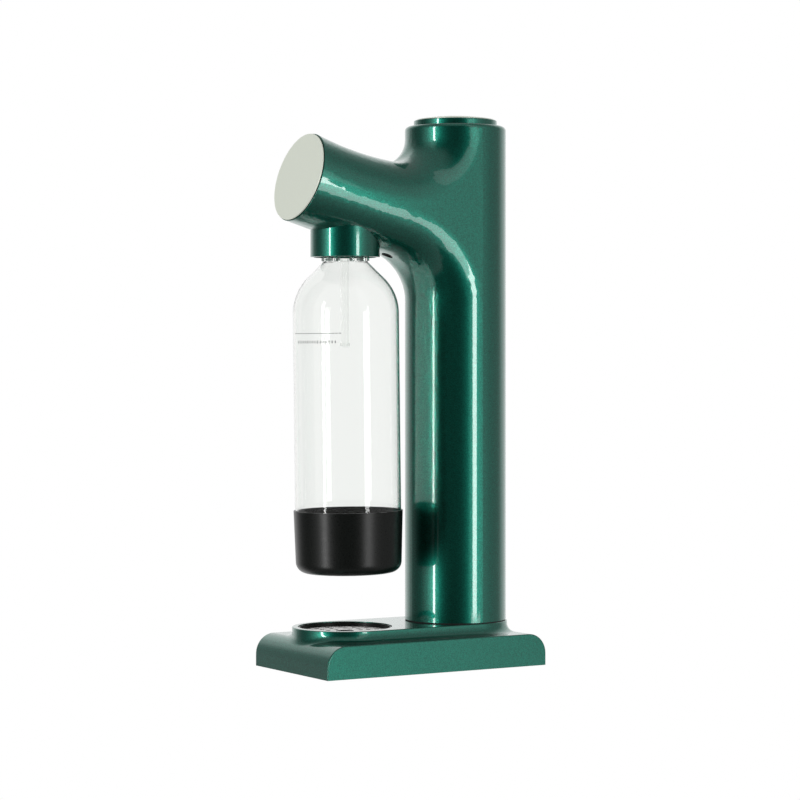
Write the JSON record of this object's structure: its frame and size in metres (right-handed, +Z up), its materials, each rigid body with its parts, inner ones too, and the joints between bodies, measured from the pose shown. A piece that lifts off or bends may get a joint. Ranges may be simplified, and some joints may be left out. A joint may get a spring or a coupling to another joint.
{
  "type": "countertop soda maker",
  "caption": "Countertop soda maker: a base with a drip well, a round column for a gas cylinder, and an arm with a push valve that holds a clear bottle.",
  "frame": {"origin": "on the table, at the middle of the outline seen from above", "axes": "+Z up, -Y towards the front where the bottle hangs, X across, with X = 0 the middle plane of column and arm"},
  "size_m": [0.117, 0.204, 0.4423],
  "materials": {
    "green_enamel": "gloss metallic lacquer",
    "face_metal": "fine satin",
    "drip_steel": "bright",
    "steel": "zinc plated",
    "brass": "machined",
    "cylinder_metal": "satin",
    "black_moulding": "satin",
    "black_rubber": "matt",
    "grey_moulding": "satin",
    "clear_bottle": "clear",
    "clear_tube": "clear",
    "hose": "matt"
  },
  "bodies": {
    "frame": {"base_shell": "green_enamel", "base_plate": "black_moulding", "rubber_feet": "black_rubber", "base_screws": "steel", "column_housing": "green_enamel", "column_gasket": "black_rubber", "column_foot_ring": "steel", "column_bolts": "steel", "cylinder_guide": "black_moulding", "cylinder_seal": "black_rubber", "valve_block": "brass", "valve_bracket": "steel", "bracket_screws": "steel", "button_sleeve": "black_moulding", "return_spring": "steel", "bottle_collar": "green_enamel", "thread_ring": "grey_moulding", "head_block": "black_moulding", "head_screws": "steel", "neck_seal": "black_rubber", "nozzle_stem": "brass", "carbonating_tube": "clear_tube", "nozzle_tip": "grey_moulding", "valve_fitting": "brass", "head_elbow": "brass", "gas_hose": "hose", "relief_valve": "brass", "vent_grommet": "black_rubber", "arm_plug": "black_moulding", "arm_face": "face_metal"},
    "drip_tray": {"drip_cup": "black_moulding", "drip_grate": "drip_steel"},
    "gas_cylinder": {"gas_cylinder": "cylinder_metal", "cylinder_valve": "brass"},
    "valve_pin": {"valve_pin": "brass"},
    "button": {"button_cap": "green_enamel", "button_disc": "face_metal", "push_rod": "steel"},
    "bottle": {"bottle": "clear_bottle", "bottle_sleeve": "black_moulding"}
  },
  "joints": [
    {"name": "button_press", "type": "slide", "parent": "frame", "child": "button", "axis": [0, 0, -1], "range_m": [0, 0.0035], "stiffness_N_per_m": 1500, "springref_m": -0.006, "deforming": ["return_spring"]},
    {"name": "cylinder_turn", "type": "hinge", "parent": "frame", "child": "gas_cylinder", "pos_m": [0, 0.05311, 0.3397], "axis": [0, 0, 1], "range_deg": [-360, 0]},
    {"name": "pin_press", "type": "slide", "parent": "gas_cylinder", "child": "valve_pin", "axis": [0, 0, -1], "range_m": [0, 0.0035]},
    {"name": "tray_lift", "type": "slide", "parent": "frame", "child": "drip_tray", "axis": [0, 0, 1], "range_m": [0, 0.012]},
    {"name": "bottle_lower", "type": "slide", "parent": "frame", "child": "bottle", "axis": [0, 0, -1], "range_m": [0, 0.026]}
  ],
  "couplings": [
    {"joint": "pin_press", "follows": "button_press", "ratio": 1}
  ]
}
